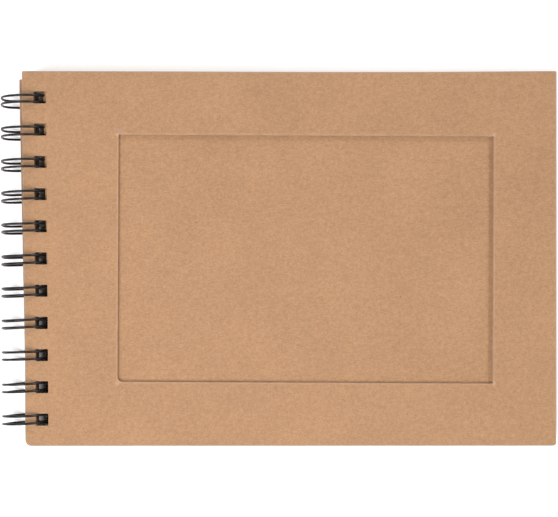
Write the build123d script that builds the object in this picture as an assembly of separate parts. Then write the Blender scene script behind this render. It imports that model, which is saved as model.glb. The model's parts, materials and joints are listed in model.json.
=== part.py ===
from build123d import *
import math
import os

# Wire-bound scrapbook album lying closed, front cover up.
# Row frame, in mm: +X from the spine to the fore edge, +Y along the spine, +Z up.
# Origin: centre of the underside of the bounding box, level with the bottom of the wire loops.

# covers
COVER_LENGTH = 210.0
COVER_HEIGHT = 148.0
COVER_CORNER_R = 1.0
WRAP_THICK = 0.2
ARRIS_R = 0.5
TURN_IN_WIDTH = 14.0
TURN_IN_THICK = 0.15
ENDPAPER_THICK = 0.15
ENDPAPER_MARGIN = 3.0
FRAME_BOARD_THICK = 1.85
BACKING_BOARD_THICK = 0.8
BACK_BOARD_THICK = 1.3

# photo window in the front cover
WINDOW_LENGTH = 148.0
WINDOW_HEIGHT = 97.5
WINDOW_FORE_MARGIN = 25.0
PANEL_THICK = 0.35
PANEL_CLEARANCE = 0.1

# leaves
LEAF_COUNT = 20
LEAF_THICK = 0.21
LEAF_PITCH = 0.25
LEAF_HEIGHT = 142.0
LEAF_FORE_SETBACK = 3.0
LEAF_CORNER_R = 0.6

# punched holes, one per wire loop
LOOP_COUNT = 11
LOOP_PITCH = 12.7
HOLE_LENGTH = 5.0
HOLE_HEIGHT = 4.8
HOLE_MARGIN = 4.4
HOLE_CORNER_R = 0.5
PUNCH_DEPTH = 20.0

# wire
WIRE_R = 0.475
LOOP_R = 8.325
STRAND_HALF_GAP = 1.5
BEND_R = 0.8
STUB_LENGTH = 1.5
TIP_CLEARANCE = 0.1

# places measured from the loop axis
COVER_SPINE_U = 0.75
LEAF_SPINE_U = 0.05
STACK_TOP_V = 5.75
STACK_BOTTOM_V = -5.45
SEAM_GAP = 1.3

RING_OUTER_R = LOOP_R + WIRE_R
FORE_U = COVER_SPINE_U + COVER_LENGTH
AXIS_X = -(FORE_U - RING_OUTER_R) / 2
AXIS_Z = RING_OUTER_R
LOOP_YS = [LOOP_PITCH * (i - (LOOP_COUNT - 1) / 2) for i in range(LOOP_COUNT)]


def slab(x0, x1, y0, y1, z0, z1, corner=0.0):
    """A flat sheet between two corners, its upright edges rounded if a radius is given."""
    size = (x1 - x0, y1 - y0, z1 - z0)
    sheet = Pos((x0 + x1) / 2, (y0 + y1) / 2, (z0 + z1) / 2) * Box(*size)
    if corner > 0:
        sheet = fillet(sheet.edges().filter_by(Axis.Z), corner)
    return sheet


def punch(sheet, spine_x):
    """The sheet with its row of loop holes, measured from its own spine edge."""
    hole_x = spine_x + HOLE_MARGIN + HOLE_LENGTH / 2
    hole = Box(HOLE_LENGTH, HOLE_HEIGHT, PUNCH_DEPTH)
    hole = fillet(hole.edges().filter_by(Axis.Z), HOLE_CORNER_R)
    for y in LOOP_YS:
        sheet -= Pos(hole_x, y, AXIS_Z) * hole
    return sheet


def cover_outline(inset, z0, z1, corner):
    """A sheet of the cover's outline, drawn in by an inset on all four sides."""
    x0 = AXIS_X + COVER_SPINE_U + inset
    x1 = AXIS_X + FORE_U - inset
    half = COVER_HEIGHT / 2 - inset
    return slab(x0, x1, -half, half, z0, z1, corner)


def window_prism(grow, z0, z1):
    """The photo window, enlarged by the given amount on all four sides."""
    x1 = AXIS_X + FORE_U - WINDOW_FORE_MARGIN + grow
    x0 = AXIS_X + FORE_U - WINDOW_FORE_MARGIN - WINDOW_LENGTH - grow
    half = WINDOW_HEIGHT / 2 + grow
    return slab(x0, x1, -half, half, z0, z1)


def rounded_end(sheet, z, radius):
    """The sheet with every edge that lies in its end face at this height rounded."""
    edges = sheet.edges().filter_by_position(Axis.Z, z - 0.001, z + 0.001)
    return fillet(edges, radius)


def front_cover():
    """Window board, backing board, wrap, window panel and endpaper of the front cover."""
    top = AXIS_Z + STACK_TOP_V
    frame_top = top - WRAP_THICK
    frame_low = frame_top - FRAME_BOARD_THICK
    backing_low = frame_low - BACKING_BOARD_THICK
    turn_low = backing_low - TURN_IN_THICK
    under = turn_low - ENDPAPER_THICK
    inner_arris = ARRIS_R - WRAP_THICK
    spine_x = AXIS_X + COVER_SPINE_U

    frame = cover_outline(WRAP_THICK, frame_low, frame_top, COVER_CORNER_R - WRAP_THICK)
    frame -= window_prism(WRAP_THICK, frame_low, frame_top)
    frame = rounded_end(frame, frame_top, inner_arris)
    backing = cover_outline(WRAP_THICK, backing_low, frame_low, COVER_CORNER_R - WRAP_THICK)

    wrap = cover_outline(0, turn_low, top, COVER_CORNER_R)
    wrap -= window_prism(0, frame_low, top)
    wrap = rounded_end(wrap, top, ARRIS_R)
    wrap -= frame
    wrap -= backing
    wrap -= cover_outline(TURN_IN_WIDTH, turn_low, backing_low, 0)

    endpaper = cover_outline(ENDPAPER_MARGIN, under, turn_low, 0)
    endpaper += cover_outline(TURN_IN_WIDTH, turn_low, backing_low, 0)

    panel = window_prism(-PANEL_CLEARANCE, frame_low, frame_low + PANEL_THICK)
    return {
        "front_frame_board": punch(frame, spine_x),
        "front_backing_board": punch(backing, spine_x),
        "front_cover_wrap": punch(wrap, spine_x),
        "front_window_panel": panel,
        "front_endpaper": punch(endpaper, spine_x),
    }, under


def back_cover():
    """Board, wrap and endpaper of the back cover."""
    bottom = AXIS_Z + STACK_BOTTOM_V
    board_low = bottom + WRAP_THICK
    board_top = board_low + BACK_BOARD_THICK
    turn_top = board_top + TURN_IN_THICK
    over = turn_top + ENDPAPER_THICK
    inner_arris = ARRIS_R - WRAP_THICK
    spine_x = AXIS_X + COVER_SPINE_U

    board = cover_outline(WRAP_THICK, board_low, board_top, COVER_CORNER_R - WRAP_THICK)
    board = rounded_end(board, board_low, inner_arris)

    wrap = cover_outline(0, bottom, turn_top, COVER_CORNER_R)
    wrap = rounded_end(wrap, bottom, ARRIS_R)
    wrap -= board
    wrap -= cover_outline(TURN_IN_WIDTH, board_top, turn_top, 0)

    endpaper = cover_outline(ENDPAPER_MARGIN, turn_top, over, 0)
    endpaper += cover_outline(TURN_IN_WIDTH, board_top, turn_top, 0)
    return {
        "back_cover_board": punch(board, spine_x),
        "back_cover_wrap": punch(wrap, spine_x),
        "back_endpaper": punch(endpaper, spine_x),
    }, over


def leaf(top_z):
    """One loose leaf with its upper face at this height."""
    x0 = AXIS_X + LEAF_SPINE_U
    x1 = AXIS_X + FORE_U - LEAF_FORE_SETBACK
    half = LEAF_HEIGHT / 2
    return punch(slab(x0, x1, -half, half, top_z - LEAF_THICK, top_z, LEAF_CORNER_R), x0)


def binding_wire(seam_z):
    """One continuous wire: a hairpin loop at every hole, joined by straight runs at the seam."""
    seam_v = seam_z - AXIS_Z
    tip_v = seam_v + 2 * WIRE_R + TIP_CLEARANCE
    base_reach = math.hypot(LOOP_R, BEND_R)
    tip_reach = math.hypot(LOOP_R, STRAND_HALF_GAP)
    start = math.asin(seam_v / base_reach) - math.atan2(BEND_R, LOOP_R)
    end = math.asin(tip_v / tip_reach) + math.atan2(STRAND_HALF_GAP, LOOP_R) - 2 * math.pi

    def on_loop(angle, along, y):
        """The point at this angle round the axis, moved along the loop's clockwise tangent."""
        x = AXIS_X + LOOP_R * math.cos(angle) + along * math.sin(angle)
        z = AXIS_Z + LOOP_R * math.sin(angle) - along * math.cos(angle)
        return (x, y, z)

    middle = (start + end) / 2
    mid_bend = BEND_R * math.sqrt(0.5)
    edges = []
    run_from = LOOP_YS[0] - STRAND_HALF_GAP - BEND_R - STUB_LENGTH
    for y in LOOP_YS:
        low = y - STRAND_HALF_GAP
        high = y + STRAND_HALF_GAP
        base_low = on_loop(start, -BEND_R, low - BEND_R)
        base_high = on_loop(start, -BEND_R, high + BEND_R)
        bend_low = on_loop(start, -mid_bend, low - BEND_R + mid_bend)
        bend_high = on_loop(start, -mid_bend, high + BEND_R - mid_bend)
        tip = on_loop(end, STRAND_HALF_GAP, y)
        start_low = on_loop(start, 0, low)
        start_high = on_loop(start, 0, high)
        end_low = on_loop(end, 0, low)
        end_high = on_loop(end, 0, high)
        edges.append(Line(on_loop(start, -BEND_R, run_from), base_low))
        edges.append(ThreePointArc(base_low, bend_low, start_low))
        edges.append(ThreePointArc(start_low, on_loop(middle, 0, low), end_low))
        edges.append(ThreePointArc(end_low, tip, end_high))
        edges.append(ThreePointArc(end_high, on_loop(middle, 0, high), start_high))
        edges.append(ThreePointArc(start_high, bend_high, base_high))
        run_from = high + BEND_R
    last = LOOP_YS[-1] + STRAND_HALF_GAP + BEND_R
    edges.append(Line(on_loop(start, -BEND_R, last), on_loop(start, -BEND_R, last + STUB_LENGTH)))
    path = Wire([edge.edge() for edge in edges])
    section = Plane(origin=path @ 0, z_dir=(0, 1, 0)) * Circle(WIRE_R)
    return sweep(section, path=path)


parts, front_under = front_cover()
back_parts, back_over = back_cover()
parts.update(back_parts)
leaf_gap = LEAF_PITCH - LEAF_THICK
for number in range(1, LEAF_COUNT + 1):
    leaf_top = front_under - leaf_gap - LEAF_PITCH * (number - 1)
    parts[f"leaf_{number:02d}"] = leaf(leaf_top)
parts["binding_wire"] = binding_wire(back_over + SEAM_GAP / 2)

os.makedirs("parts", exist_ok=True)
for node, solid in parts.items():
    export_step(solid, f"parts/{node}.step")
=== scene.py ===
import json
import math
import random

import bmesh
import bpy
import numpy as np
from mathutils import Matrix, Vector
from mathutils.geometry import delaunay_2d_cdt


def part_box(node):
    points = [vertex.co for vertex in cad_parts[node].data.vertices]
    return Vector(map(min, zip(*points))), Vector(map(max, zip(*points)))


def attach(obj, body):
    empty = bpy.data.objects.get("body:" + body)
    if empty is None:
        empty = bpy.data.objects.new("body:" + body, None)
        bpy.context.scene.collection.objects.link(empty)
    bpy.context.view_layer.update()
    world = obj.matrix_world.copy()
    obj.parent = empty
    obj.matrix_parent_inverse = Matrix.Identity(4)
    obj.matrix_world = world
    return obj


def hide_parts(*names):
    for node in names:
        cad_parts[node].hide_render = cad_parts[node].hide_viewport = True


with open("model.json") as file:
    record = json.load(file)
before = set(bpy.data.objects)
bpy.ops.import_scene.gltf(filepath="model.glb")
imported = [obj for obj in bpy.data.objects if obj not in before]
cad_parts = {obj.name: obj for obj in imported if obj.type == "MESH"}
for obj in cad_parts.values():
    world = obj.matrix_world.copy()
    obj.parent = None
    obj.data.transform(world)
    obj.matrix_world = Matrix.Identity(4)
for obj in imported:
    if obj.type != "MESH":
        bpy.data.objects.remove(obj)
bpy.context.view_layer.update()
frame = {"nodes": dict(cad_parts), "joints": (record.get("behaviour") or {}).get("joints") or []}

MM = 0.001

# places read from the frame, in metres
AXIS = frame["joints"][0]["pos_m"]
COVER_LOW, COVER_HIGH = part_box("front_cover_wrap")
FRAME_LOW, FRAME_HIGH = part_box("front_frame_board")
BACKING_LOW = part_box("front_backing_board")[0]
PANEL_LOW, PANEL_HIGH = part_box("front_window_panel")
FRONT_PAPER_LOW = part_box("front_endpaper")[0]
BACK_LOW, BACK_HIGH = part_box("back_cover_wrap")
BACK_BOARD_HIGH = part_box("back_cover_board")[1]
BACK_PAPER_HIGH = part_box("back_endpaper")[1]
WIRE_LOW, WIRE_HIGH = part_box("binding_wire")
LEAF_COUNT = sum(1 for name in frame["nodes"] if name.startswith("leaf_"))

# the same driving sizes as the frame's
WRAP_THICK = 0.2 * MM
ARRIS_R = 0.5 * MM
WINDOW_ARRIS_R = 0.3 * MM
# width of the lighter band at the window edge: wear and painted highlight
RUB_AND_HIGHLIGHT_WIDTH = 0.5 * MM
TURN_IN_WIDTH = 14.0 * MM
PAPER_MARGIN = 3.0 * MM
WALL_GAP = 0.1 * MM
LOOP_COUNT = 11
LOOP_PITCH = 12.7 * MM
HOLE_LENGTH = 5.0 * MM
HOLE_HEIGHT = 4.8 * MM
HOLE_MARGIN = 4.4 * MM
HOLE_CORNER_R = 0.45 * MM
WIRE_R = 0.475 * MM
LOOP_R = (WIRE_HIGH.z - WIRE_LOW.z) / 2 - WIRE_R
BEND_R = 0.8 * MM
STUB = 1.5 * MM
STRAND_HALF_GAP = 1.5 * MM
TIP_CLEARANCE = 0.1 * MM
LEAF_CORNER_R = 0.6 * MM
SKIN_GAP = 0.01 * MM
FOLD_GAP = 0.005 * MM

# how this hand-made album departs from square
SPINE_LEAN = -0.0098
HOLE_LEAN = -0.0075
BACK_HOLE_LEAN = -0.001
FORE_LEAN = 0.0002
SPINE_BOW = 0.2 * MM
SPINE_SHIFT = -0.08 * MM
FORE_SHIFT = 0.18 * MM
HEAD_BOW = 0.37 * MM
TAIL_TRIM = 0.1 * MM
LEAF_FAN = 0.0095
LEAF_LEAN = -0.0111
WINDOW_TURN = math.radians(-0.27)
WINDOW_SHIFT = (0.25 * MM, -0.2 * MM)
PANEL_CREEP = (0.05 * MM, 0.06 * MM)
COVER_RAGGED = 0.06 * MM
LEAF_RAGGED = 0.03 * MM
# raises the outer rim's wear value, which also paints its sheen
RIM_WEAR_AND_SHEEN = 3

# corner radii in millimetres: low-left, low-right, high-right, high-left
FRONT_CORNERS = (2.4, 1.3, 0.6, 0.55)
BACK_CORNERS = (1.1, 1.0, 1.0, 0.9)
WINDOW_CORNERS = (1.9, 0.12, 0.12, 0.12)
CUT_CORNERS = (0.1, 0.1, 0.1, 0.1)

# mesh fineness
EDGE_STEP = 5.0 * MM
GRID_STEP = 9.0 * MM
HIDDEN_GRID_STEP = GRID_STEP * 3
LEAF_GRID_STEP = 12.0 * MM
CORNER_STEPS = 5
ARRIS_STEPS = 5
SLIVER = 1e-3

random.seed(4)


# ---------------------------------------------------------------- outlines
def rounded_box(x0, x1, y0, y1, radii):
    """Counter-clockwise outline with its corners rounded: low-left, low-right, high-right, high-left."""
    corners = [(x0, y0, 180, 1, 1), (x1, y0, 270, -1, 1), (x1, y1, 0, -1, -1), (x0, y1, 90, 1, -1)]
    points = []
    for (x, y, start, sx, sy), radius in zip(corners, radii):
        for step in range(CORNER_STEPS + 1):
            angle = math.radians(start + 90 * step / CORNER_STEPS)
            point = (x + sx * radius + radius * math.cos(angle), y + sy * radius + radius * math.sin(angle))
            points.append(point)
    return np.array(points)


def spaced(points, step):
    """The outline with long sides cut into equal steps."""
    found = []
    for here, there in zip(points, np.roll(points, -1, axis=0)):
        parts = max(1, math.ceil(float(np.linalg.norm(there - here)) / step))
        found += [here + (there - here) * i / parts for i in range(parts)]
    return np.array(found)


def turned(points, angle, centre):
    """The points turned about a centre."""
    c, s = math.cos(angle), math.sin(angle)
    rel = points - centre
    return rel @ np.array([[c, s], [-s, c]]) + centre


class Loop:
    """A closed outline. The sheet lies to its left, so a hole's outline runs clockwise."""

    def __init__(self, points, hole=False):
        self.points = points[::-1].copy() if hole else points
        before = self.points - np.roll(self.points, 1, axis=0)
        after = np.roll(self.points, -1, axis=0) - self.points
        n0 = np.stack([-before[:, 1], before[:, 0]], 1) / np.linalg.norm(before, axis=1)[:, None]
        n1 = np.stack([-after[:, 1], after[:, 0]], 1) / np.linalg.norm(after, axis=1)[:, None]
        self.inward = (n0 + n1) / (1 + (n0 * n1).sum(1))[:, None]

    def at(self, inset):
        return self.points + self.inward * inset


# ---------------------------------------------------------------- closed sheet meshes
class Solid:
    """Gathers rings, strips and fills that share their points, and makes one closed mesh."""

    def __init__(self):
        self.verts, self.worn, self.faces, self.slots, self.rings = [], [], [], [], {}

    def ring(self, loop, inset, z, worn=0.0):
        key = (id(loop), round(inset, 8), round(z, 8))
        if key not in self.rings:
            start = len(self.verts)
            self.verts += [(x, y, z) for x, y in loop.at(inset)]
            self.worn += [worn] * len(loop.points)
            self.rings[key] = list(range(start, len(self.verts)))
        return self.rings[key]

    def strip(self, loop, profile, slot=0):
        """Side faces down a profile of (inset, height, wear and painted highlight) steps, from the top edge
        to the bottom.
        """
        rows = [self.ring(loop, *step) for step in profile]
        for upper, lower in zip(rows, rows[1:]):
            for i, j in zip(range(len(upper)), list(range(1, len(upper))) + [0]):
                self.faces.append((upper[i], lower[i], lower[j], upper[j]))
                self.slots.append(slot)

    def fill(self, rings, upward, slot=0, grid=GRID_STEP):
        """A flat face between the first ring and the others, cut into triangles over a grid."""
        rows = [list(r) for r in rings]
        flat = [i for row in rows for i in row]
        z = self.verts[flat[0]][2]
        outline = [np.array([self.verts[i][:2] for i in row]) for row in rows]
        points = [p for poly in outline for p in poly]
        edges, start = [], 0
        for row in rows:
            count = len(row)
            edges += [(start + i, start + (i + 1) % count) for i in range(count)]
            start += count
        inner = grid_points(outline, grid)
        spots = [tuple(p / MM) for p in points + list(inner)]
        cut = delaunay_2d_cdt(spots, edges, [], 0, 1e-6)
        new = {}
        for index, sources in enumerate(cut[3]):
            own = [s for s in sources if s < len(flat)]
            if own:
                new[index] = flat[own[0]]
            else:
                new[index] = len(self.verts)
                self.verts.append((cut[0][index][0] * MM, cut[0][index][1] * MM, z))
                self.worn.append(0.0)
        for face in enclosed(cut, [line / MM for line in outline]):
            order = face if upward else face[::-1]
            self.faces.append(tuple(new[i] for i in order))
            self.slots.append(slot)

    def piece(self, name, materials, shape=None):
        """The closed mesh as an object; shape moves every point."""
        mesh = bpy.data.meshes.new(name)
        points = [shape(*v) for v in self.verts] if shape else self.verts
        mesh.from_pydata(points, [], self.faces)
        for material in materials:
            mesh.materials.append(material)
        mesh.polygons.foreach_set("material_index", self.slots)
        worn = mesh.attributes.new("worn", "FLOAT", "POINT")
        worn.data.foreach_set("value", self.worn)
        tidy = bmesh.new()
        tidy.from_mesh(mesh)
        bmesh.ops.delete(tidy, geom=[v for v in tidy.verts if not v.link_faces], context="VERTS")
        bmesh.ops.recalc_face_normals(tidy, faces=tidy.faces)
        tidy.to_mesh(mesh)
        tidy.free()
        mesh.polygons.foreach_set("use_smooth", [True] * len(mesh.polygons))
        mesh.set_sharp_from_angle(angle=math.radians(40))
        made = bpy.data.objects.new(name, mesh)
        bpy.context.scene.collection.objects.link(made)
        return made


def enclosed(cut, outlines):
    """The triangles inside the outlines, kept or dropped by whole regions between outline edges."""
    places, edges, faces, _, edge_sources, _ = cut
    walls = {frozenset(edge) for edge, sources in zip(edges, edge_sources) if sources}
    beside = {}
    for index, face in enumerate(faces):
        for pair in zip(face, face[1:] + face[:1]):
            beside.setdefault(frozenset(pair), []).append(index)
    near = [[] for _ in faces]
    for pair, both in beside.items():
        if pair not in walls and len(both) == 2:
            near[both[0]].append(both[1])
            near[both[1]].append(both[0])
    corners = np.array([[places[i] for i in face] for face in faces])
    (a, b), (c, d) = (corners[:, 1] - corners[:, 0]).T, (corners[:, 2] - corners[:, 0]).T
    areas = abs(a * d - b * c) / 2
    inside = even_odd(corners.mean(1), outlines)
    kept, seen = [], set()
    for first in range(len(faces)):
        if first in seen:
            continue
        seen.add(first)
        region, todo = [], [first]
        while todo:
            here = todo.pop()
            region.append(here)
            for other in near[here]:
                if other not in seen:
                    seen.add(other)
                    todo.append(other)
        largest = max(region, key=lambda i: areas[i])
        if inside[largest] and areas[largest] > SLIVER:
            kept += [list(faces[i]) for i in region]
    return kept


def even_odd(points, outlines):
    """Which points lie inside an odd number of the outlines."""
    odd = np.zeros(len(points), bool)
    for poly in outlines:
        nxt = np.roll(poly, -1, axis=0)
        for (x0, y0), (x1, y1) in zip(poly, nxt):
            if y0 == y1:
                continue
            crosses = (points[:, 1] < y0) != (points[:, 1] < y1)
            at = x0 + (points[:, 1] - y0) / (y1 - y0) * (x1 - x0)
            odd ^= crosses & (points[:, 0] < at)
    return odd


def grid_points(outlines, step):
    """Grid points inside the outlines and well clear of them."""
    low, high = outlines[0].min(0), outlines[0].max(0)
    xs = np.arange(low[0] + step / 2, high[0], step)
    ys = np.arange(low[1] + step / 2, high[1], step)
    grid = np.array([(x, y) for x in xs for y in ys])
    if not len(grid):
        return grid
    grid = grid[even_odd(grid, outlines)]
    edge = np.concatenate(outlines)
    gaps = np.array([np.min(np.hypot(*(edge - p).T)) for p in grid]) if len(grid) else np.zeros(0)
    return grid[gaps > step * 0.35]


def arris(inset, top, radius, steps=ARRIS_STEPS, down=1):
    """Profile steps round an edge, from the flat face to the side, with a wear value that also paints a
    highlight, highest midway round.
    """
    found = []
    for i in range(steps + 1):
        angle = math.pi / 2 * i / steps
        worn = math.sin(2 * angle)
        out = inset + radius * (1 - math.sin(angle))
        found.append((out, top - down * radius * (1 - math.cos(angle)), worn))
    return found


# ---------------------------------------------------------------- the album's own outlines
LOOP_YS = [LOOP_PITCH * (i - (LOOP_COUNT - 1) / 2) for i in range(LOOP_COUNT)]


def cover_outline(low, high, inset=0.0, radii=FRONT_CORNERS, square=False):
    """A cover's outline: the front one is a little out of square."""
    corner = [max(r * MM - inset, 0.05 * MM) for r in radii]
    points = rounded_box(low.x + inset, high.x - inset, low.y + inset, high.y - inset, corner)
    points = spaced(points, EDGE_STEP)
    if square:
        return Loop(points)
    length, half = high.x - low.x, (high.y - low.y) / 2
    for p in points:
        along = (p[0] - low.x) / length
        share = p[1] / half
        lean = p[1] * (SPINE_LEAN * (1 - along) ** 3 + FORE_LEAN * along ** 3)
        bow = SPINE_BOW * (1 - along) ** 3 * math.sin(math.pi * max(-share, 0)) ** 2
        trim = HEAD_BOW * math.sin(math.pi * along ** 1.5) * max(share, 0) ** 3
        trim -= TAIL_TRIM * along * max(-share, 0) ** 3
        shift = SPINE_SHIFT * (1 - along) ** 3 + FORE_SHIFT * along ** 3
        p[0], p[1] = p[0] + lean + bow + shift, p[1] - trim
    return Loop(points)


def hole_loops(spine_x, lean=0.0, turn=0.0, ragged=0.0):
    """The outlines of a sheet's row of punched holes."""
    loops = []
    for y in LOOP_YS:
        x = spine_x + HOLE_MARGIN + y * lean
        slip = [random.uniform(-ragged, ragged) for _ in range(4)]
        points = rounded_box(
            x + slip[0], x + HOLE_LENGTH + slip[1],
            y - HOLE_HEIGHT / 2 + slip[2], y + HOLE_HEIGHT / 2 + slip[3],
            [HOLE_CORNER_R] * 4,
        )
        loops.append(Loop(turned(points, turn, np.array([spine_x, 0.0])), hole=True))
    return loops


def window_points(grow=0.0):
    """The photo window's outline, turned a hair within the cover."""
    x0 = PANEL_LOW.x - WALL_GAP - grow + WINDOW_SHIFT[0]
    x1 = PANEL_HIGH.x + WALL_GAP + grow + WINDOW_SHIFT[0]
    y0 = PANEL_LOW.y - WALL_GAP - grow + WINDOW_SHIFT[1]
    y1 = PANEL_HIGH.y + WALL_GAP + grow + WINDOW_SHIFT[1]
    points = rounded_box(x0, x1, y0, y1, [r * MM for r in WINDOW_CORNERS])
    centre = np.array([(x0 + x1) / 2, (y0 + y1) / 2])
    return turned(spaced(points, EDGE_STEP), WINDOW_TURN, centre)


WINDOW_CENTRE = (
    (PANEL_LOW.x + PANEL_HIGH.x) / 2 + WINDOW_SHIFT[0],
    (PANEL_LOW.y + PANEL_HIGH.y) / 2 + WINDOW_SHIFT[1],
)
WINDOW_HALF = (
    (PANEL_HIGH.x - PANEL_LOW.x) / 2 + WALL_GAP,
    (PANEL_HIGH.y - PANEL_LOW.y) / 2 + WALL_GAP,
)


# ---------------------------------------------------------------- materials
class Shader:
    """Small helper that adds linked nodes to a material."""

    def __init__(self, name):
        self.material = bpy.data.materials.new(name)
        self.material.use_nodes = True
        self.tree = self.material.node_tree
        self.bsdf = self.tree.nodes["Principled BSDF"]
        self.coords = self.tree.nodes.new("ShaderNodeTexCoord").outputs["Object"]

    def add(self, kind, inputs=None, out=0, **props):
        node = self.tree.nodes.new("ShaderNode" + kind)
        for key, value in props.items():
            setattr(node, key, value)
        for key, value in (inputs or {}).items():
            if isinstance(value, bpy.types.NodeSocket):
                self.tree.links.new(value, node.inputs[key])
            else:
                node.inputs[key].default_value = value
        return node.outputs[out]

    def math(self, operation, a, b=0.0):
        return self.add("Math", {0: a, 1: b}, operation=operation)

    def band(self, value, low, high, to_low=0.0, to_high=1.0):
        inputs = {"Value": value, "From Min": low, "From Max": high, "To Min": to_low, "To Max": to_high}
        return self.add("MapRange", inputs)

    def placed(self, scale=(1, 1, 1), turn=0.0, shift=(0, 0, 0)):
        inputs = {"Vector": self.coords, "Scale": scale, "Location": shift}
        inputs["Rotation"] = (0, 0, math.radians(turn))
        return self.add("Mapping", inputs)

    def noise(self, scale, vector=None, detail=2.0, roughness=0.5):
        inputs = {"Vector": vector or self.coords, "Scale": scale, "Detail": detail, "Roughness": roughness}
        return self.add("TexNoise", inputs)

    def mix(self, factor, a, b):
        return self.add("MixRGB", {"Fac": factor, "Color1": a, "Color2": b})

    def link(self, socket, name):
        self.tree.links.new(socket, self.bsdf.inputs[name])


def tint(colour, gain):
    return tuple(c * gain for c in colour) + (1.0,)


# directions of the long fibres: turn in degrees, noise scale, threshold and brightness
FIBRES = (
    (12, (480, 2400, 900), 0.65, 0.84),
    (-35, (520, 2400, 900), 0.65, 1.14),
    (58, (460, 2300, 900), 0.66, 0.86),
    (100, (500, 2200, 900), 0.66, 1.12),
)


def kraft(name, colour, shift=0.0, fibre=1.0, slits_and_highlights=False):
    """Uncoated brown kraft paper: cloudy pulp, long fibres, dark specks, and lighter edges that are part
    wear, part painted highlight.
    """
    s = Shader(name)
    offset = (shift, shift * 0.7, shift * 0.3)
    base = s.placed(shift=offset)
    cloud = s.noise(42, base, 3, 0.55)
    pulp = s.noise(640, base, 3, 0.68)
    grain = s.noise(1500, base, 2, 0.6)
    value = s.math("ADD", s.math("MULTIPLY", cloud, 0.17), s.math("MULTIPLY", pulp, 0.43))
    value = s.math("ADD", value, s.math("MULTIPLY", grain, 0.40))
    ramp = s.tree.nodes.new("ShaderNodeValToRGB")
    ramp.color_ramp.elements[0].position = 0.30
    ramp.color_ramp.elements[0].color = tint(colour, 0.74)
    ramp.color_ramp.elements[1].position = 0.70
    ramp.color_ramp.elements[1].color = tint(colour, 1.26)
    s.tree.links.new(value, ramp.inputs[0])
    shade = ramp.outputs[0]
    height = s.math("ADD", s.math("MULTIPLY", pulp, 0.6), s.math("MULTIPLY", grain, 0.5))
    for turn, scale, threshold, gain in FIBRES:
        streak = s.noise(1.0, s.placed(scale, turn, offset), 1, 0.4)
        mask = s.band(streak, threshold, threshold + 0.05, 0.0, 0.8 * fibre)
        shade = s.mix(mask, shade, tint(colour, gain))
        height = s.math("ADD", height, s.math("MULTIPLY", mask, 0.35))
    cells = s.tree.nodes.new("ShaderNodeTexVoronoi")
    cells.inputs["Scale"].default_value = 150
    s.tree.links.new(base, cells.inputs["Vector"])
    near = s.band(cells.outputs["Distance"], 0.03, 0.06, 1.0, 0.0)
    chosen = s.add("SeparateColor", {0: cells.outputs["Color"]})
    speck = s.math("MULTIPLY", near, s.band(chosen, 0.60, 0.64))
    shade = s.mix(s.math("MULTIPLY", speck, 0.55), shade, tint(colour, 0.45))
    # wear and painted highlight: edges lighter where the paper is scuffed, and lighter at the window edge and
    # outer rim as a painted highlight
    worn = s.add("Attribute", out=2, attribute_name="worn")
    patch = s.band(s.noise(260, base, 3), 0.40, 0.62, 0.35, 0.85)
    rub_and_highlight = s.math("MULTIPLY", worn, patch)
    shade = s.mix(rub_and_highlight, shade, (*[c * 1.12 + 0.032 for c in colour], 1.0))
    if slits_and_highlights:
        shade, height = corner_marks_and_highlights(s, shade, height, worn)
    s.link(shade, "Base Color")
    s.link(s.band(pulp, 0.3, 0.7, 0.78, 0.92), "Roughness")
    s.bsdf.inputs["Specular IOR Level"].default_value = 0.25
    s.bsdf.inputs["Sheen Weight"].default_value = PAPER_FUZZ
    s.bsdf.inputs["Sheen Roughness"].default_value = 0.4
    bump = s.add("Bump", {"Height": height, "Strength": 0.35, "Distance": 0.05 * MM})
    s.link(bump, "Normal")
    return s.material


def corner_marks_and_highlights(s, shade, height, worn):
    """Pale spots at the window's corners, part wear and part painted highlight, where one slit in the wrap
    has opened, and a paler, greyer outer rim that is painted sheen.
    """
    parts = s.tree.nodes.new("ShaderNodeSeparateXYZ")
    s.tree.links.new(s.coords, parts.inputs[0])
    x = s.math("SUBTRACT", parts.outputs[0], WINDOW_CENTRE[0])
    y = s.math("SUBTRACT", parts.outputs[1], WINDOW_CENTRE[1])
    u = s.math("SUBTRACT", s.math("SUBTRACT", s.math("ABSOLUTE", x), WINDOW_HALF[0]), 0.3 * MM)
    v = s.math("SUBTRACT", s.math("SUBTRACT", s.math("ABSOLUTE", y), WINDOW_HALF[1]), 0.3 * MM)
    away = s.math("SQRT", s.math("ADD", s.math("MULTIPLY", u, u), s.math("MULTIPLY", v, v)))
    # pale corner spots: partly wear, partly painted highlights where the corners catch the light
    corner_rub_and_highlight = s.band(away, 0.3 * MM, 1.1 * MM, 0.7, 0.0)
    across = s.math("DIVIDE", s.math("ADD", x, WINDOW_HALF[0] - SLIT_PLACE[0]), SLIT_SIZE[0])
    along = s.math("DIVIDE", s.math("SUBTRACT", y, WINDOW_HALF[1] + SLIT_PLACE[1]), SLIT_SIZE[1])
    reach = s.math("ADD", s.math("MULTIPLY", across, across), s.math("MULTIPLY", along, along))
    opened = s.band(reach, 0.35, 1.0, 0.7, 0.0)
    # painted sheen: a paler, greyer band along the outer rim, standing in for grazing light on the edge
    outside = s.band(s.math("MAXIMUM", u, v), *RIM_SHEEN_START)
    shade = s.mix(s.math("MULTIPLY", worn, outside), shade, RIM_PAINTED_SHEEN_COLOUR)
    shade = s.mix(opened, shade, SLIT_COLOUR)
    shade = s.mix(corner_rub_and_highlight, shade, RUBBED_AND_HIGHLIGHT_COLOUR)
    height = s.math("SUBTRACT", height, s.math("MULTIPLY", opened, 0.8))
    return shade, height


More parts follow.
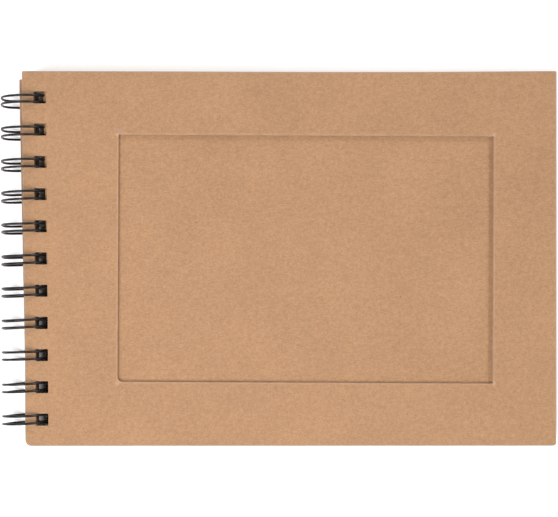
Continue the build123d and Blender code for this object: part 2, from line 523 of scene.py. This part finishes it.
def board(name, colour):
    """Raw greyboard: layered, fibrous and dull."""
    s = Shader(name)
    layers = s.noise(1.0, s.placed((300, 300, 9000)), 2, 0.5)
    pulp = s.noise(900, None, 4, 0.6)
    value = s.math("ADD", s.math("MULTIPLY", layers, 0.5), s.math("MULTIPLY", pulp, 0.5))
    shade = s.mix(s.band(value, 0.32, 0.68), tint(colour, 0.72), tint(colour, 1.22))
    s.link(shade, "Base Color")
    s.bsdf.inputs["Roughness"].default_value = 0.93
    s.bsdf.inputs["Specular IOR Level"].default_value = 0.2
    s.link(s.add("Bump", {"Height": value, "Strength": 0.5, "Distance": 0.08 * MM}), "Normal")
    return s.material


def coated_wire(name):
    """Black nylon-coated wire: satin, with faint scuffs along its length."""
    s = Shader(name)
    scuff = s.noise(1800, None, 3, 0.6)
    cloud = s.noise(240, None, 2, 0.5)
    shade = s.mix(s.band(scuff, 0.55, 0.72, 0.0, 0.6), (0.007, 0.0065, 0.0065, 1), (0.018, 0.017, 0.017, 1))
    s.link(shade, "Base Color")
    s.link(s.band(cloud, 0.3, 0.7, 0.28, 0.42), "Roughness")
    s.bsdf.inputs["Specular IOR Level"].default_value = 0.38
    s.link(s.add("Bump", {"Height": scuff, "Strength": 0.12, "Distance": 0.03 * MM}), "Normal")
    return s.material


KRAFT = (0.380, 0.2145, 0.1145)
PAPER_FUZZ = 0.5
SLIT_COLOUR = (0.384, 0.236, 0.166, 1.0)
# pale corner spots, partly wear and partly painted highlight
RUBBED_AND_HIGHLIGHT_COLOUR = (0.50, 0.31, 0.20, 1.0)
# painted sheen along the outer rim
RIM_PAINTED_SHEEN_COLOUR = (0.35, 0.275, 0.215, 1.0)
SLIT_PLACE = (0.6 * MM, 1.7 * MM)
SLIT_SIZE = (1.7 * MM, 1.1 * MM)
RIM_SHEEN_START = (3.0 * MM, 5.0 * MM)
WRAP = kraft("kraft_wrap", KRAFT, 0.0, slits_and_highlights=True)
PANEL = kraft("kraft_panel", KRAFT, 0.37)
PAPER = kraft("kraft_endpaper", tuple(c * 0.97 for c in KRAFT), 0.71)
WRAP_BACK = kraft("kraft_wrap_back", KRAFT, 2.3)
LEAVES = [
    kraft(f"kraft_leaf_{i}", tuple(c * gain for c in KRAFT), 1.1 + i, 0.8)
    for i, gain in enumerate((0.96, 1.0, 0.93))
]
BOARD = board("greyboard", (0.22, 0.185, 0.15))
WIRE = coated_wire("black_wire")


# ---------------------------------------------------------------- pieces of the covers
def stand_for(piece, node, body):
    """The piece takes a CAD node's place on its body."""
    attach(piece, body)
    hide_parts(node)


def flat_piece(name, outer, holes, low, high, material, top_r=0.0, low_r=0.0, shape=None, grid=GRID_STEP):
    """A sheet with holes, its upper and lower edges rounded by the given radii."""
    solid = Solid()
    profile = arris(0, high, top_r) if top_r else [(0.0, high, 0.3)]
    profile += arris(0, low, low_r, down=-1)[::-1] if low_r else [(0.0, low, 0.3)]
    for loop in [outer] + holes:
        solid.strip(loop, profile)
    solid.fill([solid.ring(loop, *profile[0]) for loop in [outer] + holes], True, grid=grid)
    solid.fill([solid.ring(loop, *profile[-1]) for loop in [outer] + holes], False, grid=grid)
    return solid.piece(name, [material], shape)


def front_cover():
    """The five glued layers of the front cover."""
    holes = hole_loops(COVER_LOW.x, HOLE_LEAN, ragged=COVER_RAGGED)
    outline = cover_outline(COVER_LOW, COVER_HIGH)
    window = Loop(window_points(), hole=True)
    flange = cover_outline(COVER_LOW, COVER_HIGH, TURN_IN_WIDTH, CUT_CORNERS)
    inner_r = ARRIS_R - WRAP_THICK
    top, skin = COVER_HIGH.z, FRAME_HIGH.z
    under, fold = COVER_LOW.z, BACKING_LOW.z
    foot = FRAME_LOW.z

    wrap = Solid()
    # the outer rim's wear value is raised: lighter scuffing and a painted sheen along the rim
    outer_top = [(inset, z, min(1.0, RIM_WEAR_AND_SHEEN * worn)) for inset, z, worn in arris(0, top, ARRIS_R)]
    # the window's edge carries full wear, painted as a highlight line along it
    window_top = [(WINDOW_ARRIS_R + RUB_AND_HIGHLIGHT_WIDTH, top, 0.0)]
    window_top += [(inset, z, 1.0) for inset, z, _ in arris(0, top, WINDOW_ARRIS_R)]
    window_inside = arris(WRAP_THICK, skin, WINDOW_ARRIS_R - WRAP_THICK, 3)
    wrap.strip(outline, outer_top + arris(0, under, WRAP_THICK, 3, -1)[::-1])
    wrap.strip(window, window_top + [(0.0, foot, 0.0), (WRAP_THICK, foot, 0.0)])
    wrap.strip(window, [(WRAP_THICK, foot, 0.0)] + window_inside[::-1])
    wrap.strip(outline, arris(WRAP_THICK, skin, inner_r, 3) + [(WRAP_THICK, fold, 0.0)])
    flange_hole = Loop(flange.points.copy(), hole=True)
    wrap.strip(flange_hole, [(0.0, fold, 0.0), (0.0, under, 0.0)])
    for hole in holes:
        wrap.strip(hole, [(0.0, top, 0.0), (0.0, skin, 0.0)])
        wrap.strip(hole, [(0.0, fold, 0.0), (0.0, under, 0.0)])
    wrap.fill([wrap.ring(outline, *outer_top[0]), wrap.ring(window, *window_top[0])]
              + [wrap.ring(h, 0.0, top) for h in holes], True)
    inside = arris(WRAP_THICK, skin, inner_r, 3)[0]
    wrap.fill([wrap.ring(outline, *inside), wrap.ring(window, *window_inside[0])]
              + [wrap.ring(h, 0.0, skin) for h in holes], False, grid=HIDDEN_GRID_STEP)
    wrap.fill([wrap.ring(outline, WRAP_THICK, fold), wrap.ring(flange_hole, 0.0, fold)]
              + [wrap.ring(h, 0.0, fold) for h in holes], True, grid=HIDDEN_GRID_STEP)
    wrap.fill([wrap.ring(outline, WRAP_THICK, under), wrap.ring(flange_hole, 0.0, under)]
              + [wrap.ring(h, 0.0, under) for h in holes], False)
    piece = wrap.piece("front_wrap", [WRAP])
    stand_for(piece, "front_cover_wrap", "front_cover")

    core_line = Loop(outline.at(WRAP_THICK + SKIN_GAP))
    core_window = Loop(window.at(WRAP_THICK + SKIN_GAP)[::-1].copy(), hole=True)
    frame_board = flat_piece(
        "front_window_board", core_line, [core_window] + holes, foot, skin - SKIN_GAP, BOARD, inner_r
    )
    stand_for(frame_board, "front_frame_board", "front_cover")
    backing = flat_piece(
        "front_backing", core_line, holes, fold + FOLD_GAP, foot, BOARD, grid=HIDDEN_GRID_STEP
    )
    stand_for(backing, "front_backing_board", "front_cover")

    points = window_points(-0.02 * MM)
    points[:, 0] = np.where(points[:, 0] < WINDOW_CENTRE[0], points[:, 0] + PANEL_CREEP[0], points[:, 0])
    points[:, 1] = np.where(points[:, 1] < WINDOW_CENTRE[1], points[:, 1] + PANEL_CREEP[1], points[:, 1])
    panel = flat_piece("front_panel", Loop(points), [], PANEL_LOW.z, PANEL_HIGH.z, PANEL, 0.03 * MM)
    stand_for(panel, "front_window_panel", "front_cover")
    heights = (under, FRONT_PAPER_LOW.z, fold)
    endpaper("front_paper", COVER_LOW, COVER_HIGH, holes, heights, "front_endpaper", "front_cover")


def endpaper(name, low, high, holes, heights, node, body):
    """The paper that lines a cover: thin over the turn-ins and pressed down to the board between them."""
    face, free, deep = heights
    margin = cover_outline(low, high, PAPER_MARGIN, CUT_CORNERS)
    middle = cover_outline(low, high, TURN_IN_WIDTH + SKIN_GAP, CUT_CORNERS)
    upward = free > face
    paper = Solid()
    paper.strip(margin, [(0.0, max(face, free), 0.4), (0.0, min(face, free), 0.4)])
    for hole in holes:
        paper.strip(hole, [(0.0, max(face, free), 0.0), (0.0, min(face, free), 0.0)])
    paper.fill([paper.ring(margin, 0.0, free)] + [paper.ring(h, 0.0, free) for h in holes], upward)
    step = [paper.ring(middle, 0.0, face)]
    paper.fill([paper.ring(margin, 0.0, face)] + step + [paper.ring(h, 0.0, face) for h in holes], not upward)
    paper.strip(middle, [(0.0, max(face, deep), 0.0), (0.0, min(face, deep), 0.0)])
    paper.fill([paper.ring(middle, 0.0, deep)], not upward)
    piece = paper.piece(name, [PAPER])
    stand_for(piece, node, body)


def back_cover():
    """The three glued layers of the back cover."""
    holes = hole_loops(BACK_LOW.x, BACK_HOLE_LEAN, ragged=COVER_RAGGED)
    outline = cover_outline(BACK_LOW, BACK_HIGH, radii=BACK_CORNERS, square=True)
    flange = cover_outline(BACK_LOW, BACK_HIGH, TURN_IN_WIDTH, CUT_CORNERS, square=True)
    flange_hole = Loop(flange.points.copy(), hole=True)
    skin = BACK_LOW.z + WRAP_THICK
    fold = BACK_BOARD_HIGH.z
    top = BACK_HIGH.z
    inner_r = ARRIS_R - WRAP_THICK
    wrap = Solid()
    lower = arris(0, BACK_LOW.z, ARRIS_R, down=-1)[::-1]
    wrap.strip(outline, arris(0, top, WRAP_THICK, 3) + lower)
    inside = arris(WRAP_THICK, skin, inner_r, 3, -1)[::-1]
    wrap.strip(outline, [(WRAP_THICK, fold, 0.0)] + inside)
    wrap.strip(flange_hole, [(0.0, top, 0.0), (0.0, fold, 0.0)])
    for hole in holes:
        wrap.strip(hole, [(0.0, top, 0.0), (0.0, fold, 0.0)])
        wrap.strip(hole, [(0.0, skin, 0.0), (0.0, BACK_LOW.z, 0.0)])
    wrap.fill([wrap.ring(outline, *lower[-1])] + [wrap.ring(h, 0.0, BACK_LOW.z) for h in holes], False)
    wrap.fill([wrap.ring(outline, *inside[-1])]
              + [wrap.ring(h, 0.0, skin) for h in holes], True, grid=HIDDEN_GRID_STEP)
    wrap.fill([wrap.ring(outline, WRAP_THICK, fold), wrap.ring(flange_hole, 0.0, fold)]
              + [wrap.ring(h, 0.0, fold) for h in holes], False, grid=HIDDEN_GRID_STEP)
    wrap.fill([wrap.ring(outline, WRAP_THICK, top), wrap.ring(flange_hole, 0.0, top)]
              + [wrap.ring(h, 0.0, top) for h in holes], True)
    piece = wrap.piece("back_wrap", [WRAP_BACK])
    stand_for(piece, "back_cover_wrap", "back_cover")
    core = Loop(outline.at(WRAP_THICK + SKIN_GAP))
    core_board = flat_piece(
        "back_board", core, holes, skin + SKIN_GAP, fold - FOLD_GAP, BOARD,
        low_r=inner_r, grid=HIDDEN_GRID_STEP,
    )
    stand_for(core_board, "back_cover_board", "back_cover")
    heights = (top, BACK_PAPER_HIGH.z, fold)
    endpaper("back_paper", BACK_LOW, BACK_HIGH, holes, heights, "back_endpaper", "back_cover")


# ---------------------------------------------------------------- leaves
FAN_FALL = 0.9
FAN_PLAY = 0.0006
SLIDE_PLAY = (-0.1, 0.05)
SAG_SHARE = 0.92
SAG_GROWTH = 1.3
SAG_START = 14.0 * MM
SAG_REACH = 95.0 * MM


def leaves():
    """Loose leaves: each a little turned on the wire, and eased down over the seam's gap."""
    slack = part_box(f"leaf_{LEAF_COUNT:02d}")[0].z - BACK_PAPER_HIGH.z
    for number in range(1, LEAF_COUNT + 1):
        name = f"leaf_{number:02d}"
        low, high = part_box(name)
        depth = (number - 1) / (LEAF_COUNT - 1)
        turn = LEAF_FAN * (1 - FAN_FALL * depth) + random.uniform(-FAN_PLAY, FAN_PLAY)
        slide = random.uniform(*SLIDE_PLAY) * MM
        pivot = np.array([low.x, 0.0])
        sheet = spaced(rounded_box(low.x, high.x, low.y, high.y, [LEAF_CORNER_R] * 4), EDGE_STEP * 2)
        near = (high.x - sheet[:, 0]) / (high.x - low.x)
        sheet[:, 0] += sheet[:, 1] * LEAF_LEAN * near ** 3
        outer = Loop(turned(sheet, turn, pivot) + np.array([slide, 0.0]))
        holes = hole_loops(low.x + slide, LEAF_LEAN, turn, LEAF_RAGGED)
        sag = slack * SAG_SHARE * (number / LEAF_COUNT) ** SAG_GROWTH
        start = low.x + SAG_START

        def eased(x, y, z, sag=sag, start=start):
            t = min(1.0, max(0.0, (x - start) / SAG_REACH))
            return (x, y, z - sag * t * t * (3 - 2 * t))

        piece = flat_piece(
            f"page_{number:02d}", outer, holes, low.z, high.z, LEAVES[number % len(LEAVES)],
            shape=eased, grid=LEAF_GRID_STEP,
        )
        stand_for(piece, name, name)


# ---------------------------------------------------------------- wire
LOOP_SPREAD = 2.95 * MM
SPREAD_PLAY = 0.2 * MM
END_PINCH = 0.5 * MM
LOOP_SLANT = 0.39 * MM
LEAN_REACH = math.radians(22)
OVAL_FRONT = 0.5 * MM
OVAL_BACK = 0.25 * MM
ROW_SHIFT = -0.70 * MM
ROW_TURN = 0.35 * MM
ROW_SQUEEZE = -0.0045
ROW_LEAN = 0.0048
DRIFT_PLAY = 0.12
TIP_NARROWING = 0.9
SWEEP_STEPS = 64
TIP_STEPS = 12
BEND_STEPS = 8


def wire_points():
    """The centre line of the whole wire, each loop a little different from the next."""
    seam_v = (BACK_PAPER_HIGH.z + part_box(f"leaf_{LEAF_COUNT:02d}")[0].z) / 2 - AXIS[2]
    half = STRAND_HALF_GAP
    start = math.asin(seam_v / math.hypot(LOOP_R, BEND_R)) - math.atan2(BEND_R, LOOP_R)
    tip_v = seam_v + 2 * WIRE_R + TIP_CLEARANCE
    end = math.asin(tip_v / math.hypot(LOOP_R, half)) + math.atan2(half, LOOP_R) - 2 * math.pi
    tip_half = half * TIP_NARROWING
    points = []

    def put(angle, along, y, centre, drift):
        wide = LOOP_R + (OVAL_FRONT if math.cos(angle) < 0 else OVAL_BACK)
        x = wide * math.cos(angle) + along * math.sin(angle)
        z = LOOP_R * math.sin(angle) - along * math.cos(angle)
        lean = LOOP_SLANT * math.tanh((-angle - math.pi) / LEAN_REACH) + drift * math.cos(angle)
        skew = (LOOP_YS[-1] - centre) * ROW_LEAN
        points.append((AXIS[0] + x + skew, y + centre + lean, AXIS[2] + z))

    for y in LOOP_YS[::-1]:
        spread = LOOP_SPREAD + random.uniform(-SPREAD_PLAY, SPREAD_PLAY)
        if y == LOOP_YS[-1]:
            spread -= END_PINCH
        centre = y * (1 + ROW_SQUEEZE) + ROW_SHIFT
        drift = ROW_TURN + random.uniform(-DRIFT_PLAY, DRIFT_PLAY) * MM
        for i in range(BEND_STEPS + 1):
            a = math.pi / 2 * i / BEND_STEPS
            put(start, -BEND_R * math.cos(a), half + BEND_R * (1 - math.sin(a)), centre, drift)
        sweep(put, start, end, half, tip_half, spread, centre, drift)
        for i in range(1, TIP_STEPS):
            a = math.pi * i / TIP_STEPS
            put(end, tip_half * math.sin(a), tip_half * math.cos(a), centre, drift)
        sweep(put, end, start, -tip_half, -half, spread, centre, drift)
        for i in range(1, BEND_STEPS + 1):
            a = math.pi / 2 * i / BEND_STEPS
            put(start, -BEND_R * math.sin(a), -half - BEND_R * (1 - math.cos(a)), centre, drift)
    return points


def sweep(put, first, last, from_y, to_y, spread, centre, drift):
    """One strand of a loop, opening to its own width over the spine."""
    side = 1 if from_y > 0 else -1
    for i in range(SWEEP_STEPS + 1):
        t = i / SWEEP_STEPS
        bulge = math.sin(math.pi * t) ** 0.5
        y = (from_y + (to_y - from_y) * t) * (1 - bulge) + side * spread / 2 * bulge
        put(first + (last - first) * t, 0.0, y, centre, drift)


def wire():
    """The binding wire as one smooth tube with cut ends."""
    points = wire_points()
    first, last = points[0], points[-1]
    points = [(first[0], first[1] + STUB, first[2])] + points + [(last[0], last[1] - STUB, last[2])]
    curve = bpy.data.curves.new("wire_line", "CURVE")
    curve.dimensions = "3D"
    curve.bevel_depth = WIRE_R
    curve.bevel_resolution = 5
    curve.use_fill_caps = True
    spline = curve.splines.new("POLY")
    spline.points.add(len(points) - 1)
    spline.points.foreach_set("co", [c for p in points for c in (*p, 1.0)])
    shown = bpy.data.objects.new("wire_line", curve)
    bpy.context.scene.collection.objects.link(shown)
    bpy.context.view_layer.update()
    ready = shown.evaluated_get(bpy.context.evaluated_depsgraph_get())
    mesh = bpy.data.meshes.new_from_object(ready)
    bpy.data.objects.remove(shown)
    mesh.name = "double_loop_wire"
    welded = bmesh.new()
    welded.from_mesh(mesh)
    bmesh.ops.remove_doubles(welded, verts=welded.verts, dist=0.001 * MM)
    bmesh.ops.recalc_face_normals(welded, faces=welded.faces)
    welded.to_mesh(mesh)
    welded.free()
    mesh.materials.clear()
    mesh.materials.append(WIRE)
    mesh.polygons.foreach_set("use_smooth", [True] * len(mesh.polygons))
    mesh.set_sharp_from_angle(angle=math.radians(50))
    piece = bpy.data.objects.new("double_loop_wire", mesh)
    bpy.context.scene.collection.objects.link(piece)
    stand_for(piece, "binding_wire", "binding")


# ---------------------------------------------------------------- floor, lights and camera
TABLE_SIZE = 6.0
TABLE_WHITE = (0.84, 0.84, 0.84, 1)
# painted shadow colour for the strip of table under the holes
TABLE_SHADOW_GREY = (0.25, 0.25, 0.25, 1)
TABLE_GLOW = 0.34
WORLD_LIGHT = 0.42

# a painted shadow on the table under the holes, darker and without glow where the album shades it: its near
# edge, far edge and ends
STRIP_SHIFT = 0.7 * MM
STRIP_SLANT = 0.012
STRIP_NEAR = (2.2 * MM, 5.9 * MM)
STRIP_FAR = (14.0 * MM, 24.0 * MM)
STRIP_END = 8.0 * MM

# the camera looks straight down
CAMERA_SIDE = 0.5 * MM
CAMERA_HEIGHT = 0.6
CAMERA_LENS = 98.2
CAMERA_SENSOR = 36.0


def plane(name, size, centre):
    """A square face, which lies flat."""
    mesh = bpy.data.meshes.new(name)
    half = size / 2
    corners = [(-half, -half, 0), (half, -half, 0), (half, half, 0), (-half, half, 0)]
    mesh.from_pydata(corners, [], [(0, 1, 2, 3)])
    made = bpy.data.objects.new(name, mesh)
    made.location = centre
    bpy.context.scene.collection.objects.link(made)
    return made


def studio():
    """A white table that touches the loops and the back cover's fore edge, under soft light."""
    floor = plane("table", TABLE_SIZE, (WIRE_LOW.x + (WIRE_HIGH.x - WIRE_LOW.x) / 2, 0, 0))
    rise = math.atan2(BACK_LOW.z, BACK_HIGH.x - AXIS[0])
    floor.rotation_euler = (0, -rise, 0)
    s = Shader("white_table")
    s.bsdf.inputs["Roughness"].default_value = 0.9
    s.bsdf.inputs["Emission Color"].default_value = (1, 1, 1, 1)
    parts = s.tree.nodes.new("ShaderNodeSeparateXYZ")
    s.tree.links.new(s.coords, parts.inputs[0])
    inward = s.math("SUBTRACT", parts.outputs[0], COVER_LOW.x - floor.location.x - STRIP_SHIFT)
    inward = s.math("ADD", inward, s.math("MULTIPLY", parts.outputs[1], STRIP_SLANT))
    # painted shadow: the table is darker and loses its glow in the strip under the holes
    shaded = s.math("MULTIPLY", s.band(inward, *STRIP_NEAR), s.band(inward, *STRIP_FAR, 1.0, 0.0))
    ends = s.band(s.math("ABSOLUTE", parts.outputs[1]), COVER_HIGH.y - STRIP_END, COVER_HIGH.y, 1.0, 0.0)
    shaded = s.math("MULTIPLY", shaded, ends)
    s.link(s.mix(shaded, TABLE_WHITE, TABLE_SHADOW_GREY), "Base Color")
    s.link(s.band(shaded, 0.0, 1.0, TABLE_GLOW, 0.0), "Emission Strength")
    floor.data.materials.append(s.material)

    world = bpy.data.worlds.new("studio")
    bpy.context.scene.world = world
    world.use_nodes = True
    sky = world.node_tree.nodes["Background"]
    sky.inputs["Color"].default_value = (1.0, 1.0, 1.0, 1)
    sky.inputs["Strength"].default_value = WORLD_LIGHT

    area_light("key", (1.11, 1.33, 1.00), 0.30, 12.0)
    area_light("side", (1.29, 0.11, 0.94), 0.50, 7.5)
    area_light("overhead", (-0.25, -0.26, 0.62), 0.50, 4.6)


def area_light(name, place, size, watts):
    """A round lamp that faces the album."""
    light = bpy.data.lights.new(name, "AREA")
    light.shape = "DISK"
    light.size = size
    light.energy = watts
    made = bpy.data.objects.new(name, light)
    made.location = place
    made.rotation_mode = "QUATERNION"
    made.rotation_quaternion = (-Vector(place)).to_track_quat("-Z", "Y")
    bpy.context.scene.collection.objects.link(made)


def camera():
    """The view from straight above the cover."""
    data = bpy.data.cameras.new("camera")
    data.sensor_width = CAMERA_SENSOR
    data.lens = CAMERA_LENS
    data.clip_start = 0.01
    made = bpy.data.objects.new("camera", data)
    made.location = (CAMERA_SIDE, 0.0, COVER_HIGH.z + CAMERA_HEIGHT)
    bpy.context.scene.collection.objects.link(made)
    bpy.context.scene.camera = made


front_cover()
back_cover()
leaves()
wire()
studio()
camera()
bpy.context.scene.view_settings.view_transform = "Standard"
bpy.context.scene.view_settings.look = "None"
